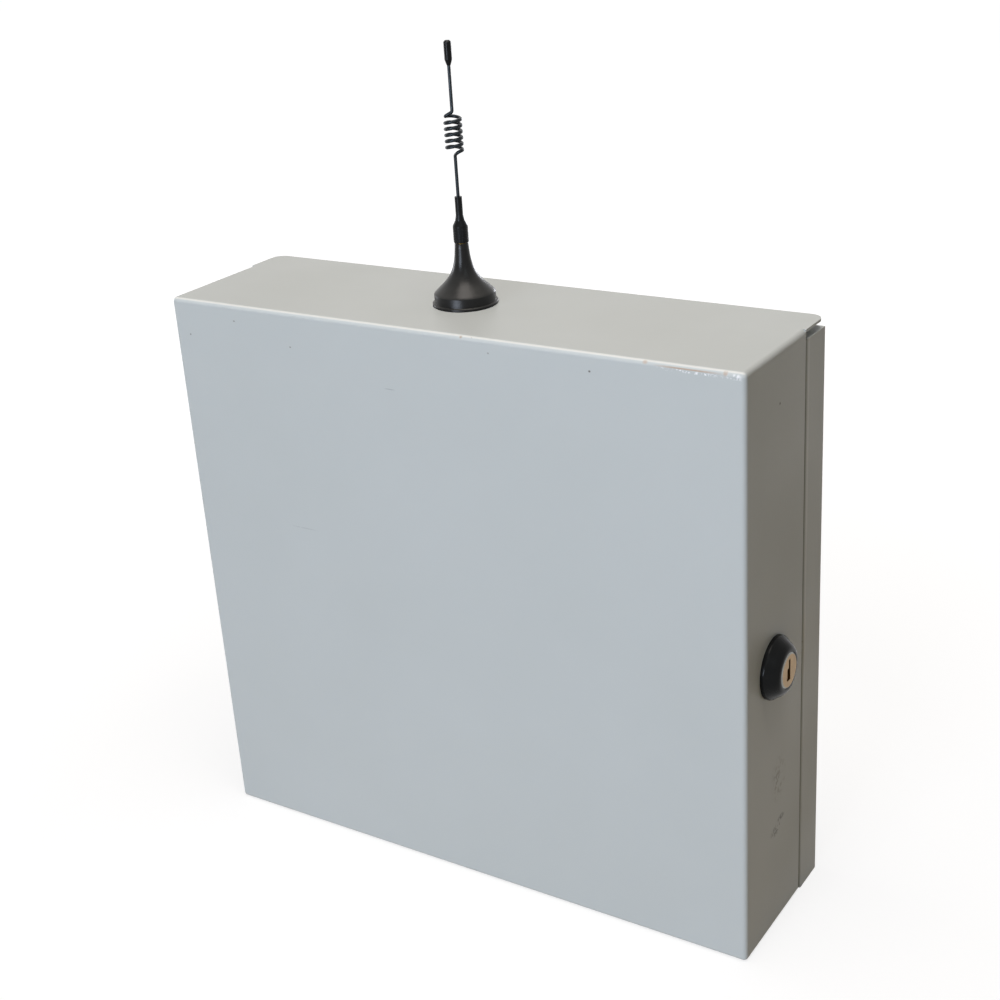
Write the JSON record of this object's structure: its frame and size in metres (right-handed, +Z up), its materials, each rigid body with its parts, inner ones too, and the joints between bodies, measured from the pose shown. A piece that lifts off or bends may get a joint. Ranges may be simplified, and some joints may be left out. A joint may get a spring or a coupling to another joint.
{
  "type": "traffic signal controller",
  "caption": "Lockable grey steel wall box with a hinged cover, a cam lock, a magnet-foot coiled antenna and the signal control gear inside.",
  "frame": {"origin": "on the standing face, midway between the box's sides and midway between its front and wall faces", "axes": "+X to the right as seen from the front, +Y from the front to the wall, +Z up"},
  "size_m": [0.309, 0.0824, 0.3952],
  "materials": {
    "light_grey_powder_coat": "semi-gloss powder coat with a slight orange peel",
    "hinge_pin_steel": "bright drawn steel",
    "black_moulding": "black moulded plastic, satin",
    "blackened_metal": "blackened metal, semi-gloss",
    "lock_plating": "bright plating",
    "lock_core_brass": "worn brass",
    "zinc_plated_steel": "zinc plated",
    "ferrite": "dark sintered ferrite",
    "bare_brass": "bright turned brass",
    "spring_steel": "dark oiled spring wire",
    "supply_aluminium": "mill-finish sheet",
    "green_circuit_board": "green solder mask",
    "black_component": "matt black moulding",
    "relay_blue": "blue moulded case",
    "terminal_green": "green moulded terminal block",
    "light_lens": "clear tinted lens",
    "cell_steel": "stainless can",
    "fuse_glass": "clear glass with plated caps",
    "tinned_steel": "tinned pressing",
    "capacitor_sleeve": "shrink sleeve",
    "button_red": "red button",
    "button_white": "white button"
  },
  "bodies": {
    "rear_box": {"rear_pan": "light_grey_powder_coat", "upper_hinge_pan_leaf": "light_grey_powder_coat", "lower_hinge_pan_leaf": "light_grey_powder_coat", "upper_hinge_pin": "hinge_pin_steel", "lower_hinge_pin": "hinge_pin_steel", "switch_bracket": "zinc_plated_steel", "board_standoffs": "zinc_plated_steel", "board_screws": "zinc_plated_steel", "earth_stud": "zinc_plated_steel", "earth_nut": "zinc_plated_steel", "supply_transformer": "ferrite", "antenna_socket": "bare_brass", "supply_chassis": "supply_aluminium", "supply_cover": "supply_aluminium", "control_board": "green_circuit_board", "supply_board": "green_circuit_board", "radio_board": "green_circuit_board", "processor": "black_component", "driver_chip_left": "black_component", "driver_chip_right": "black_component", "switch_body": "black_component", "supply_terminals": "black_component", "mains_terminals": "black_component", "battery_holder": "black_component", "fuse_holder": "black_component", "step_switch": "black_component", "reset_switch": "black_component", "lamp_relay_1": "relay_blue", "lamp_relay_2": "relay_blue", "lamp_relay_3": "relay_blue", "lamp_relay_4": "relay_blue", "lamp_relay_5": "relay_blue", "lamp_relay_6": "relay_blue", "lamp_terminals_left": "terminal_green", "lamp_terminals_right": "terminal_green", "input_terminals": "terminal_green", "status_lights": "light_lens", "clock_battery": "cell_steel", "lamp_fuse": "fuse_glass", "radio_can": "tinned_steel", "capacitor_left": "capacitor_sleeve", "capacitor_right": "capacitor_sleeve"},
    "cover": {"front_cover": "light_grey_powder_coat", "upper_hinge_cover_leaf": "light_grey_powder_coat", "lower_hinge_cover_leaf": "light_grey_powder_coat", "lock_shroud": "black_moulding", "lock_barrel": "lock_plating", "lock_nut": "zinc_plated_steel", "antenna_foot": "black_moulding", "antenna_magnet": "ferrite", "antenna_stud": "bare_brass", "antenna_ferrule": "blackened_metal", "antenna_whip": "spring_steel", "antenna_tip": "black_moulding"},
    "lock_core": {"lock_plug": "lock_core_brass", "lock_cam": "zinc_plated_steel", "cam_screw": "zinc_plated_steel"},
    "rocker": {"switch_rocker": "black_component"},
    "step_key": {"step_button": "button_white"},
    "reset_key": {"reset_button": "button_red"}
  },
  "joints": [
    {"name": "cover_hinge", "type": "hinge", "parent": "rear_box", "child": "cover", "pos_m": [-0.1509, 0.01885, 0.14], "axis": [0, 0, -1], "range_deg": [0, 110]},
    {"name": "lock_turn", "type": "hinge", "parent": "cover", "child": "lock_core", "pos_m": [0.148, -0.013, 0.138], "axis": [-1, 0, 0], "range_deg": [0, 90]},
    {"name": "switch_rock", "type": "hinge", "parent": "rear_box", "child": "rocker", "pos_m": [-0.109, 0.008, 0.097], "axis": [1, 0, 0], "range_deg": [0, 20]},
    {"name": "step_press", "type": "slide", "parent": "rear_box", "child": "step_key", "axis": [0, 1, 0], "range_m": [0, 0.0003], "stiffness_N_per_m": 4000},
    {"name": "reset_press", "type": "slide", "parent": "rear_box", "child": "reset_key", "axis": [0, 1, 0], "range_m": [0, 0.0003], "stiffness_N_per_m": 4000}
  ]
}
